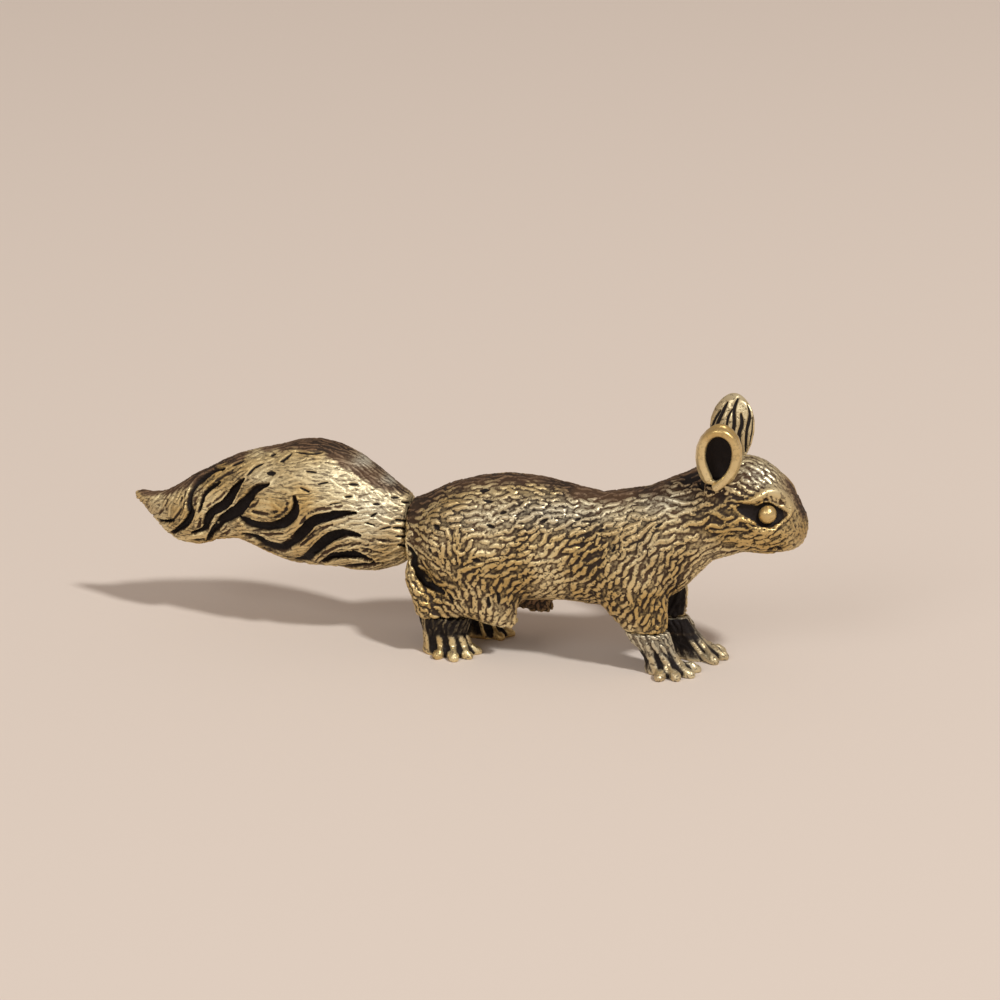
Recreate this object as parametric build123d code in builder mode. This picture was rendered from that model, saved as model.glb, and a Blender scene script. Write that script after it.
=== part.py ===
from build123d import *
import os
from math import asin, cos, pi, radians, sin

# Cast brass squirrel ornament, in millimetres.
# It creeps along on four paws with its tail stretched out level behind it.
# The nose points to +X, the animal's left is +Y, and the soles stand on Z = 0.
# The body is one casting. The tail, the ears, the paws and the eyes are made
# apart, and each stands on a flat seat with a dowel or a stem in a blind socket.

# Lengths along X. The joint between body and tail stands at TAIL_SEAT_X.
HEAD_LENGTH = 13.8
TRUNK_LENGTH = 26.6
TAIL_LENGTH = 29.9
NOSE_X = (HEAD_LENGTH + TRUNK_LENGTH + TAIL_LENGTH) / 2
NECK_X = NOSE_X - HEAD_LENGTH
TAIL_SEAT_X = NECK_X - TRUNK_LENGTH

# Trunk, from the tail joint to the neck; RISE is the height of its middle line
TRUNK_WIDTH = 11.8
TRUNK_HEIGHT = 13.2
TRUNK_RISE = 11.8

# Head, from the neck to the nose, turned a little to the animal's left
HEAD_WIDTH = 9.4
HEAD_HEIGHT = 10.2
HEAD_RISE = 17.5
HEAD_TURN = 8.0

# Tail
TAIL_WIDTH = 10.2
TAIL_HEIGHT = 13.4
TAIL_RISE = 13.6

# Thighs, placed along the trunk; the left one is further forward and lower
THIGH_LENGTH = 11.8
THIGH_WIDTH = 5.4
THIGH_HEIGHT = 13.0
THIGH_RIGHT_Z = 3.4
THIGH_LEFT_Z = 2.8
THIGH_SPREAD_SHARE = 0.295
THIGH_RIGHT_REACH_SHARE = 0.252
THIGH_LEFT_REACH_SHARE = 0.32

# Heels: the slender lobe behind each thigh, down to the ankle
HEEL_LENGTH = 2.7
HEEL_WIDTH = 3.8
HEEL_HEIGHT = 6.6

# Shoulders, placed along the trunk
SHOULDER_LENGTH = 9.2
SHOULDER_WIDTH = 5.6
SHOULDER_HEIGHT = 9.0
SHOULDER_SPREAD_SHARE = 0.25
SHOULDER_RIGHT_REACH_SHARE = 0.90
SHOULDER_LEFT_REACH_SHARE = 0.93

# Hind feet: ankle behind the middle of the thigh, height of the seat, size there
HIND_ANKLE_LENGTH = 5.4
HIND_ANKLE_WIDTH = 3.3
HIND_STEP_BACK = 2.3
HIND_SPREAD = 3.1
HIND_RIGHT_SEAT = 4.0
HIND_LEFT_SEAT = 3.4

# Fore feet: ankle ahead of the middle of the shoulder, height of the seat, size there
FORE_ANKLE_LENGTH = 4.6
FORE_ANKLE_WIDTH = 3.2
FORE_STEP = 1.15
FORE_SPREAD = 2.6
FORE_SEAT = 4.2
STUMP_HEIGHT = 3.6
# How far each foot steps forward between its seat and its sole
HIND_STRIDE = 4.6
FORE_RIGHT_STRIDE = 4.6
FORE_LEFT_STRIDE = 7.0

# Toes
TOE_WIDTH = 1.4
TOE_HEIGHT = 1.5
TOE_LENGTH = 3.1

# Ears, placed on the head
EAR_HEIGHT = 6.5
EAR_WIDTH = 4.6
EAR_THICKNESS = 2.3
EAR_WALL = 0.6
EAR_HOLLOW_SHARE = 0.35
EAR_RIGHT_REACH_SHARE = 0.365
EAR_LEFT_REACH_SHARE = 0.406
EAR_SPREAD_SHARE = 0.42
EAR_SEAT_SHARE = 0.294
EAR_TILT = 14.0
EAR_TURN = 10.0
EAR_ROOT = 2.6

# Eyes, placed on the head
EYE_RADIUS = 0.95
EYE_REACH_SHARE = 0.732
EYE_SPREAD_SHARE = 0.375
EYE_TURN = 66.0
EYE_LENGTH = 4.0
EYE_OPENING = 2.3
EYE_CUT = 2.0

# Grooves between the locks of the tail: width a little off the skin, and depth below it
LOCK_WIDTH = 1.1
LOCK_DEPTH = 0.75
LOCK_LIFT = 0.35
LOCK_TIP_SHARE = 0.35

# Dowel, stems and their sockets
DOWEL_RADIUS = 1.2
DOWEL_DEPTH = 4.5
STEM_RADIUS = 0.8
STEM_DEPTH = 2.2
EAR_STEM_RADIUS = 0.5
EAR_STEM_DEPTH = 1.6
EYE_STEM_RADIUS = 0.4
EYE_STEM_DEPTH = 1.5
SOCKET_CLEARANCE = 0.05
SOCKET_SPARE_DEPTH = 0.1

# Number of flats round a section
BODY_FLATS = 20
LIMB_FLATS = 12
TOE_FLATS = 8
# A quad is flat when its last corner stands this close to the plane of the others
FLATNESS = 1e-6

# Sections of the trunk: place along it, rise of its middle, width, height
TRUNK_SHARES = (
    (0.000, 0.99, 0.52, 0.52),
    (0.030, 0.97, 0.58, 0.58),
    (0.075, 0.96, 0.69, 0.69),
    (0.150, 0.97, 0.84, 0.84),
    (0.265, 0.99, 0.96, 0.96),
    (0.380, 1.01, 1.00, 1.00),
    (0.500, 1.02, 0.97, 0.97),
    (0.620, 1.01, 0.91, 0.91),
    (0.740, 0.98, 0.88, 0.88),
    (0.920, 1.03, 0.88, 0.95),
    (1.000, 1.12, 0.82, 0.95),
)
# Sections of the neck and head: place along it, rise, width, height
HEAD_SHARES = (
    (0.110, 0.80, 0.94, 1.20),
    (0.330, 0.94, 0.96, 1.02),
    (0.550, 0.985, 0.97, 0.97),
    (0.660, 0.97, 0.94, 0.94),
    (0.765, 0.945, 0.85, 0.85),
    (0.860, 0.91, 0.68, 0.68),
    (0.930, 0.88, 0.49, 0.49),
    (0.975, 0.865, 0.32, 0.32),
    (1.000, 0.86, 0.14, 0.14),
)
# Sections of the tail, from the joint to the tip: place, rise, size
TAIL_SHARES = (
    (0.000, 0.880, 0.51),
    (0.045, 0.880, 0.64),
    (0.115, 0.910, 0.80),
    (0.190, 0.960, 0.92),
    (0.260, 1.000, 0.97),
    (0.330, 1.010, 1.00),
    (0.400, 1.000, 0.98),
    (0.470, 0.995, 0.89),
    (0.545, 1.005, 0.78),
    (0.615, 1.005, 0.68),
    (0.685, 0.955, 0.63),
    (0.757, 0.885, 0.60),
    (0.828, 0.835, 0.48),
    (0.885, 0.830, 0.33),
    (0.935, 0.880, 0.20),
    (0.972, 0.925, 0.12),
    (1.000, 0.940, 0.05),
)
TRUNK_PEAR_SHARE = 0.07
HEAD_PEAR_SHARE = 0.05
# Grooves of one side of the tail: places along it, with heights between its edges at -1 and 1
LOCK_SHARES = (
    ((0.10, -0.57), (0.18, -0.57), (0.25, -0.70), (0.31, -0.88)),
    ((0.15, -0.22), (0.21, -0.22), (0.27, -0.42), (0.34, -0.70), (0.41, -0.82), (0.47, -0.78)),
    ((0.16, 0.24), (0.23, 0.10), (0.30, -0.07), (0.35, -0.30), (0.42, -0.56), (0.50, -0.67), (0.57, -0.60)),
    ((0.365, 0.20), (0.375, -0.02), (0.415, -0.16), (0.48, -0.20), (0.55, -0.24)),
    ((0.47, 0.44), (0.51, 0.26), (0.56, 0.05), (0.60, -0.16), (0.65, -0.34), (0.70, -0.50)),
    ((0.56, 0.55), (0.60, 0.36), (0.63, 0.08), (0.67, -0.14), (0.71, -0.32)),
    ((0.67, 0.82), (0.715, 0.80), (0.742, 0.56), (0.750, 0.28), (0.750, 0.00), (0.775, -0.24)),
)

# Sections of a thigh: height, step forward, size
THIGH_SHARES = (
    (0.00, 0.35, 0.20),
    (0.05, 0.27, 0.42),
    (0.13, 0.09, 0.74),
    (0.30, 0.11, 0.80),
    (0.48, 0.08, 0.95),
    (0.62, 0.04, 0.96),
    (0.78, -0.02, 0.80),
    (0.92, -0.05, 0.50),
    (1.00, -0.06, 0.20),
)
# Sections of a heel, from its foot's seat up: height, step forward, size
HEEL_SHARES = (
    (0.00, -0.50, 1.15),
    (0.26, -0.65, 1.10),
    (0.50, -1.02, 0.93),
    (0.72, -1.17, 0.74),
    (0.90, -1.13, 0.46),
    (1.00, -1.08, 0.20),
)
# Sections of a shoulder: height, step forward, size
SHOULDER_SHARES = (
    (0.00, 0.12, 0.50),
    (0.12, 0.05, 0.57),
    (0.36, -0.07, 0.78),
    (0.62, -0.09, 0.97),
    (0.85, -0.05, 0.84),
    (1.00, 0.02, 0.48),
)
# Sections of a hind foot, from its seat down: height, step forward, size
HIND_SHARES = (
    (1.00, 0.00, 1.00),
    (0.65, 0.01, 0.93),
    (0.32, 0.04, 0.95),
    (0.00, 0.09, 1.04),
)
# Sections of a fore foot: the same
FORE_SHARES = (
    (1.00, 0.00, 1.00),
    (0.65, 0.17, 0.90),
    (0.32, 0.36, 0.88),
    (0.00, 0.48, 0.98),
)
# Sections of a toe, from its root to its tip: place, rise, size
TOE_SHARES = (
    (0.00, 0.40, 1.00),
    (0.50, 0.37, 1.00),
    (0.78, 0.27, 0.90),
    (0.93, 0.20, 0.66),
    (1.00, 0.16, 0.32),
)
# Toes of each foot: heading in degrees from straight ahead, length
HIND_RIGHT_TOES = ((-108, 0.84), (-62, 0.98), (-26, 1.00), (9, 1.08))
HIND_LEFT_TOES = ((-30, 0.95), (3, 1.08), (36, 1.00), (72, 0.90))
FORE_RIGHT_TOES = ((-96, 0.95), (-55, 0.92), (-16, 1.00), (20, 1.10))
FORE_LEFT_TOES = ((-38, 0.98), (0, 1.02), (36, 0.98), (74, 0.90))

# Sections of an ear, from its seat up: place, size
EAR_SHARES = (
    (0.00, 0.62),
    (0.10, 0.79),
    (0.24, 0.94),
    (0.42, 1.02),
    (0.60, 1.00),
    (0.77, 0.84),
    (0.90, 0.58),
    (0.97, 0.34),
    (1.00, 0.16),
)


def ring(plane, width, height, flats, pear_share=0.0):
    """Corners round an oval on a plane; pear_share widens it below and narrows it above."""
    corners = []
    for number in range(flats):
        turn = 2 * pi * (number + 1 / 2) / flats
        across = width / 2 * cos(turn) * (1 - pear_share * sin(turn))
        corners.append(plane.from_local_coords(Vector(across, height / 2 * sin(turn), 0)))
    return corners


def flat_loft(rings):
    """Solid from ring to ring in which every face is flat: a quad, or two triangles where it twists."""
    faces = [Face(Wire.make_polygon(corners)) for corners in (rings[0], rings[-1])]
    for low, high in zip(rings, rings[1:]):
        for number, corner in enumerate(low):
            loop = (low[number - 1], corner, high[number], high[number - 1])
            square = (loop[1] - loop[0]).cross(loop[2] - loop[0]).normalized()
            if abs(square.dot(loop[3] - loop[0])) < FLATNESS:
                faces.append(Face(Wire.make_polygon(loop)))
            else:
                faces.append(Face(Wire.make_polygon(loop[:3])))
                faces.append(Face(Wire.make_polygon((loop[0], loop[2], loop[3]))))
    return Solid(Shell(faces))


def upright(x, y, z, heading):
    """Plane that stands square to a heading in the ground plane."""
    ahead = (cos(radians(heading)), sin(radians(heading)), 0)
    across = (-sin(radians(heading)), cos(radians(heading)), 0)
    return Plane(origin=(x, y, z), x_dir=across, z_dir=ahead)


def moved(plane, x, y, z):
    """The same plane, with its origin stepped along its own axes."""
    return Plane(origin=plane.from_local_coords((x, y, z)), x_dir=plane.x_dir, z_dir=plane.z_dir)


def head_place(reach, aside, z, heading):
    """Upright plane at a reach from the neck and a distance to the left of the head's middle."""
    ahead = (cos(radians(HEAD_TURN)), sin(radians(HEAD_TURN)))
    return upright(
        NECK_X + reach * ahead[0] - aside * ahead[1],
        reach * ahead[1] + aside * ahead[0],
        z,
        HEAD_TURN + heading,
    )


def limb(shares, x, y, z, length, width, height, stride):
    """Level sections of a limb at shares of its height from z up, stepped forward by a stride."""
    return [
        ring(
            Plane(origin=(x + step * stride, y, z + up * height), x_dir=(1, 0, 0), z_dir=(0, 0, 1)),
            size * length, size * width, LIMB_FLATS,
        )
        for up, step, size in shares
    ]


def tail_at(place):
    """Height of the middle, half width and half height of the tail at a place along it."""
    for (start, *low), (end, *high) in zip(TAIL_SHARES, TAIL_SHARES[1:]):
        if start <= place <= end:
            blend = (place - start) / (end - start)
            rise, size = [a + (b - a) * blend for a, b in zip(low, high)]
    return rise * TAIL_RISE, size * TAIL_WIDTH / 2, size * TAIL_HEIGHT / 2


def lock_groove(path, side):
    """Triangles with one corner inward, along a path on one side of the tail."""
    stations = []
    for place, height in path:
        middle, half_width, half_height = tail_at(place)
        aside = cos(asin(height))
        point = Vector(
            TAIL_SEAT_X - place * TAIL_LENGTH, side * half_width * aside, middle + half_height * height
        )
        outward = Vector(0, side * aside / half_width, height / half_height).normalized()
        stations.append((point, outward))
    sections = []
    last = len(stations) - 1
    for number, (point, outward) in enumerate(stations):
        along = stations[min(number + 1, last)][0] - stations[max(number - 1, 0)][0]
        across = along.cross(outward).normalized()
        size = LOCK_TIP_SHARE + (1 - LOCK_TIP_SHARE) * sin(pi * number / last)
        rim = point + outward * LOCK_LIFT
        sections.append([
            rim - across * size * LOCK_WIDTH / 2,
            rim + across * size * LOCK_WIDTH / 2,
            point - outward * size * LOCK_DEPTH,
        ])
    return sections


# Middles of the thighs and shoulders, then the seats of the tail and of the feet
thighs = {
    "hind_foot_right": (TAIL_SEAT_X + THIGH_RIGHT_REACH_SHARE * TRUNK_LENGTH, -1, THIGH_RIGHT_Z),
    "hind_foot_left": (TAIL_SEAT_X + THIGH_LEFT_REACH_SHARE * TRUNK_LENGTH, 1, THIGH_LEFT_Z),
}
shoulders = {
    "fore_foot_right": (TAIL_SEAT_X + SHOULDER_RIGHT_REACH_SHARE * TRUNK_LENGTH, -1),
    "fore_foot_left": (TAIL_SEAT_X + SHOULDER_LEFT_REACH_SHARE * TRUNK_LENGTH, 1),
}
tail_seat = upright(TAIL_SEAT_X, 0, TRUNK_RISE, 0)
hind = (HIND_SHARES, HIND_ANKLE_LENGTH, HIND_ANKLE_WIDTH)
fore = (FORE_SHARES, FORE_ANKLE_LENGTH, FORE_ANKLE_WIDTH)
feet = {
    "hind_foot_right": (hind, -HIND_SPREAD, HIND_RIGHT_SEAT, HIND_STRIDE, HIND_RIGHT_TOES),
    "hind_foot_left": (hind, HIND_SPREAD, HIND_LEFT_SEAT, HIND_STRIDE, HIND_LEFT_TOES),
    "fore_foot_right": (fore, -FORE_SPREAD, FORE_SEAT, FORE_RIGHT_STRIDE, FORE_RIGHT_TOES),
    "fore_foot_left": (fore, FORE_SPREAD, FORE_SEAT, FORE_LEFT_STRIDE, FORE_LEFT_TOES),
}


def ankle_x(name):
    """Place of a foot's seat along X."""
    if name in thighs:
        return thighs[name][0] - HIND_STEP_BACK
    return shoulders[name][0] + FORE_STEP


def foot_seat(name):
    """Level plane of a foot's seat."""
    shape, aside, seat, stride, toes = feet[name]
    return Plane(origin=(ankle_x(name), aside, seat), x_dir=(1, 0, 0), z_dir=(0, 0, 1))


def ear_seat(side):
    """Plane of an ear's seat, its z axis up the ear and its y axis outward."""
    share = EAR_LEFT_REACH_SHARE if side > 0 else EAR_RIGHT_REACH_SHARE
    place = head_place(
        share * HEAD_LENGTH, side * EAR_SPREAD_SHARE * HEAD_WIDTH,
        HEAD_RISE + EAR_SEAT_SHARE * HEAD_HEIGHT, side * (90 - EAR_TURN),
    )
    upward = place.z_dir * sin(radians(EAR_TILT)) + Vector(0, 0, 1) * cos(radians(EAR_TILT))
    return Plane(origin=place.origin, x_dir=-place.x_dir, z_dir=upward)


def ear_sections(seat, width, thickness, low, high, outward):
    """Sections of an ear, or of the hollow in it, from low to high above the seat."""
    return [
        ring(
            moved(seat, 0, outward, low + place * (high - low)),
            size * width, size * thickness, LIMB_FLATS,
        )
        for place, size in EAR_SHARES
    ]


def eye_seat(side):
    """Plane of an eye's seat, its z axis outward."""
    return head_place(
        EYE_REACH_SHARE * HEAD_LENGTH, side * EYE_SPREAD_SHARE * HEAD_WIDTH, HEAD_RISE, side * EYE_TURN
    )


sides = {"right": -1, "left": 1}
root_share = EAR_SHARES[0][1]

with BuildPart() as body_casting:
    trunk_sections = [
        ring(
            upright(TAIL_SEAT_X + place * TRUNK_LENGTH, 0, rise * TRUNK_RISE, 0),
            wide * TRUNK_WIDTH, high * TRUNK_HEIGHT, BODY_FLATS, TRUNK_PEAR_SHARE,
        )
        for place, rise, wide, high in TRUNK_SHARES
    ]
    head_sections = [
        ring(
            head_place(place * HEAD_LENGTH, 0, rise * HEAD_RISE, 0),
            wide * HEAD_WIDTH, high * HEAD_HEIGHT, BODY_FLATS, HEAD_PEAR_SHARE,
        )
        for place, rise, wide, high in HEAD_SHARES
    ]
    add(flat_loft(trunk_sections + head_sections))
    # Thighs, with the heels behind them, and shoulders
    for name, (middle, side, low) in thighs.items():
        aside = side * THIGH_SPREAD_SHARE * TRUNK_WIDTH
        add(flat_loft(
            limb(THIGH_SHARES, middle, aside, low, THIGH_LENGTH, THIGH_WIDTH, THIGH_HEIGHT, THIGH_LENGTH)
        ))
        seat = foot_seat(name).origin
        add(flat_loft(
            limb(HEEL_SHARES, seat.X, aside, seat.Z, HEEL_LENGTH, HEEL_WIDTH, HEEL_HEIGHT, HEEL_LENGTH)
        ))
    for middle, side in shoulders.values():
        add(flat_loft(limb(
            SHOULDER_SHARES, middle, side * SHOULDER_SPREAD_SHARE * TRUNK_WIDTH, FORE_SEAT,
            SHOULDER_LENGTH, SHOULDER_WIDTH, SHOULDER_HEIGHT, SHOULDER_LENGTH,
        )))
    # Stumps that end in the flat seats of the feet, each with a blind socket
    for name, ((shares, length, width), *rest) in feet.items():
        seat = foot_seat(name)
        add(flat_loft([
            ring(moved(seat, 0, 0, up), length, width, LIMB_FLATS) for up in (0, STUMP_HEIGHT)
        ]))
        with Locations(Plane(origin=seat.origin, z_dir=(0, 0, -1))):
            Hole(STEM_RADIUS + SOCKET_CLEARANCE, depth=STEM_DEPTH + SOCKET_SPARE_DEPTH)
    # Stumps of the ears, and the almond recesses of the eyes
    for side in sides.values():
        seat = ear_seat(side)
        add(flat_loft([
            ring(moved(seat, 0, 0, up), root_share * EAR_WIDTH, root_share * EAR_THICKNESS, LIMB_FLATS)
            for up in (-EAR_ROOT, 0)
        ]))
        with Locations(seat):
            Hole(EAR_STEM_RADIUS + SOCKET_CLEARANCE, depth=EAR_STEM_DEPTH + SOCKET_SPARE_DEPTH)
        with BuildSketch(eye_seat(side)):
            with BuildLine():
                ThreePointArc((-EYE_LENGTH / 2, 0), (0, -EYE_OPENING / 2), (EYE_LENGTH / 2, 0))
                ThreePointArc((EYE_LENGTH / 2, 0), (0, EYE_OPENING / 2), (-EYE_LENGTH / 2, 0))
            make_face()
        extrude(amount=EYE_CUT, mode=Mode.SUBTRACT)
        with Locations(eye_seat(side)):
            Hole(EYE_STEM_RADIUS + SOCKET_CLEARANCE, depth=EYE_STEM_DEPTH + SOCKET_SPARE_DEPTH)
    # Socket of the tail's dowel
    with Locations(Plane(origin=tail_seat.origin, z_dir=(-1, 0, 0))):
        Hole(DOWEL_RADIUS + SOCKET_CLEARANCE, depth=DOWEL_DEPTH + SOCKET_SPARE_DEPTH)
body_casting.part.label = "body_casting"

with BuildPart() as tail_casting:
    add(flat_loft([
        ring(
            upright(TAIL_SEAT_X - place * TAIL_LENGTH, 0, rise * TAIL_RISE, 0),
            size * TAIL_WIDTH, size * TAIL_HEIGHT, BODY_FLATS,
        )
        for place, rise, size in TAIL_SHARES
    ]))
    for path in LOCK_SHARES:
        for side in sides.values():
            add(flat_loft(lock_groove(path, side)), mode=Mode.SUBTRACT)
    with Locations(Plane(origin=tail_seat.origin, z_dir=(1, 0, 0))):
        Hole(DOWEL_RADIUS + SOCKET_CLEARANCE, depth=DOWEL_DEPTH + SOCKET_SPARE_DEPTH)
tail_casting.part.label = "tail_casting"

with BuildPart() as tail_dowel:
    with BuildSketch(tail_seat):
        Circle(DOWEL_RADIUS)
    extrude(amount=DOWEL_DEPTH, both=True)
tail_dowel.part.label = "tail_dowel"

os.makedirs("parts", exist_ok=True)
export_step(body_casting.part, "parts/body_casting.step")
export_step(tail_casting.part, "parts/tail_casting.step")
export_step(tail_dowel.part, "parts/tail_dowel.step")

for name, ((shares, length, width), aside, height, stride, toes) in feet.items():
    seat = foot_seat(name)
    sole_x = ankle_x(name) + shares[-1][1] * stride
    with BuildPart() as foot:
        add(flat_loft(limb(shares, ankle_x(name), aside, 0, length, width, height, stride)))
        for heading, stretch in toes:
            root = upright(sole_x, aside, 0, heading)
            add(flat_loft([
                ring(
                    moved(root, 0, rise * TOE_HEIGHT, place * stretch * TOE_LENGTH),
                    size * TOE_WIDTH, size * TOE_HEIGHT, TOE_FLATS,
                )
                for place, rise, size in TOE_SHARES
            ]))
        split(bisect_by=Plane.XY, keep=Keep.TOP)
        with BuildSketch(seat):
            Circle(STEM_RADIUS)
        extrude(amount=STEM_DEPTH)
    foot.part.label = name
    export_step(foot.part, f"parts/{name}.step")

for name, side in sides.items():
    seat = ear_seat(side)
    with BuildPart() as ear:
        add(flat_loft(ear_sections(seat, EAR_WIDTH, EAR_THICKNESS, 0, EAR_HEIGHT, 0)))
        hollow = ear_sections(
            seat, EAR_WIDTH - 2 * EAR_WALL, EAR_THICKNESS, EAR_WALL, EAR_HEIGHT - EAR_WALL,
            EAR_HOLLOW_SHARE * EAR_THICKNESS,
        )
        add(flat_loft(hollow), mode=Mode.SUBTRACT)
        with BuildSketch(seat):
            Circle(EAR_STEM_RADIUS)
        extrude(amount=-EAR_STEM_DEPTH)
    ear.part.label = f"ear_{name}"
    export_step(ear.part, f"parts/ear_{name}.step")
    with BuildPart() as eye:
        with Locations(eye_seat(side)):
            Sphere(EYE_RADIUS, arc_size1=0, align=(Align.CENTER, Align.CENTER, Align.MIN))
        with BuildSketch(eye_seat(side)):
            Circle(EYE_STEM_RADIUS)
        extrude(amount=-EYE_STEM_DEPTH)
    eye.part.label = f"eye_{name}"
    export_step(eye.part, f"parts/eye_{name}.step")
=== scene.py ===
from itertools import product
from math import cos, pi, radians, sin

import bmesh
import bpy
import numpy as np
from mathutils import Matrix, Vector
from mathutils.bvhtree import BVHTree


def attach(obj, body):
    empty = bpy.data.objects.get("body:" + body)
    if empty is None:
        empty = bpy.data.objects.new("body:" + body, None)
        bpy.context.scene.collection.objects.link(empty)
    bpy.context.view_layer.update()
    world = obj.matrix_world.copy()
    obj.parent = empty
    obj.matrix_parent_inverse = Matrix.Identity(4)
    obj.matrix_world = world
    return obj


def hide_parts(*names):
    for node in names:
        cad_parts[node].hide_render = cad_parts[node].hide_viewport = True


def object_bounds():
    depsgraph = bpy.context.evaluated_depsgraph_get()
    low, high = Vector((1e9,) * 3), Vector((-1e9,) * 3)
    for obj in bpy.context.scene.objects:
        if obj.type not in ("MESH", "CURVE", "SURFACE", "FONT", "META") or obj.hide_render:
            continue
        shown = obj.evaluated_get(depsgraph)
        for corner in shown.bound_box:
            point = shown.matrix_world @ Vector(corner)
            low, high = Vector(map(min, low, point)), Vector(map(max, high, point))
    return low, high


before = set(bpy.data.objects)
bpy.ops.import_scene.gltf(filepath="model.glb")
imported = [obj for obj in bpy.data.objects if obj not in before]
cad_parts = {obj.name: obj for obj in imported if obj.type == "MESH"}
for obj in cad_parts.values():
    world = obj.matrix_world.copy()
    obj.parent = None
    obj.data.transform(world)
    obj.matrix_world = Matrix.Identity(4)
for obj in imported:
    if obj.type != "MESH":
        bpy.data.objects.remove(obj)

# Looks of a small brass squirrel: cast, chased with fur, darkened all over and rubbed bright.
# Lengths are millimetres while a skin is worked, and metres once it is finished.
MM = 0.001
CAD_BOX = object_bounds()

# The camera, found from the photograph
IMAGE_SIDE = 1000.0
CAMERA_AZIMUTH = radians(16.0)
CAMERA_ELEVATION = radians(18.0)
CAMERA_DISTANCE = 350.0
CAMERA_FOCUS = 3500.0
CAMERA_TARGET = np.array([4.01, 0.0, 15.6])
SENSOR_WIDTH = 36.0
TOWARD_CAMERA = np.array([
    sin(CAMERA_AZIMUTH) * cos(CAMERA_ELEVATION),
    -cos(CAMERA_AZIMUTH) * cos(CAMERA_ELEVATION),
    sin(CAMERA_ELEVATION),
])
CAMERA_RIGHT = np.array([cos(CAMERA_AZIMUTH), sin(CAMERA_AZIMUTH), 0.0])
CAMERA_UP = np.cross(TOWARD_CAMERA, CAMERA_RIGHT)
CAMERA_EYE = CAMERA_TARGET + TOWARD_CAMERA * CAMERA_DISTANCE

# Where the neck turns the head to the animal's right
NECK_X = 21.35
HEAD_TURN = radians(8.0)

# Sides of the skins' voxels
BODY_VOXEL = 0.160
TAIL_VOXEL = 0.118
FOOT_VOXEL = 0.08
EAR_VOXEL = 0.08


def sight(px, py):
    """Direction from the camera through a pixel of the photograph."""
    return (
        -TOWARD_CAMERA * CAMERA_FOCUS
        + CAMERA_RIGHT * (px - IMAGE_SIDE / 2)
        - CAMERA_UP * (py - IMAGE_SIDE / 2)
    )


def seen(px, py, aside):
    """Point at a pixel of the photograph that lies on the plane y = aside, in millimetres."""
    ray = sight(px, py)
    return CAMERA_EYE + ray * (aside - CAMERA_EYE[1]) / ray[1]


def pixels_of(points):
    """Pixel of the photograph at which the camera sees each point."""
    away = points - CAMERA_EYE
    depth = -(away @ TOWARD_CAMERA)
    return np.stack([
        IMAGE_SIDE / 2 + CAMERA_FOCUS * (away @ CAMERA_RIGHT) / depth,
        IMAGE_SIDE / 2 - CAMERA_FOCUS * (away @ CAMERA_UP) / depth,
    ], 1)


def near_half(points):
    """The points with the animal's left half mirrored to its right; the head is a little turned."""
    turn = np.where(points[:, 0] > NECK_X, HEAD_TURN, 0.0)
    x, y = points[:, 0] - NECK_X, points[:, 1]
    ahead = x * np.cos(turn) + y * np.sin(turn)
    aside = -np.abs(y * np.cos(turn) - x * np.sin(turn))
    return np.stack([
        NECK_X + ahead * np.cos(turn) - aside * np.sin(turn),
        ahead * np.sin(turn) + aside * np.cos(turn),
        points[:, 2],
    ], 1)


# Nodes

class Wire:
    """A socket that can be used in a sum; each operator adds a Math node."""

    def __init__(self, maker, socket):
        self.maker = maker
        self.socket = socket

    def math(self, operation, *others):
        values = dict(enumerate((self, *others)))
        return self.maker.add("ShaderNodeMath", {"operation": operation}, values)[0]

    def __add__(self, other):
        return self.math("ADD", other)

    def __sub__(self, other):
        return self.math("SUBTRACT", other)

    def __mul__(self, other):
        return self.math("MULTIPLY", other)

    def __truediv__(self, other):
        return self.math("DIVIDE", other)

    def __rsub__(self, other):
        return (self * -1.0) + other


class Outputs:
    """A node's outputs by name or number."""

    def __init__(self, maker, node):
        self.maker = maker
        self.node = node

    def __getitem__(self, key):
        return Wire(self.maker, self.node.outputs[key])


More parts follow.
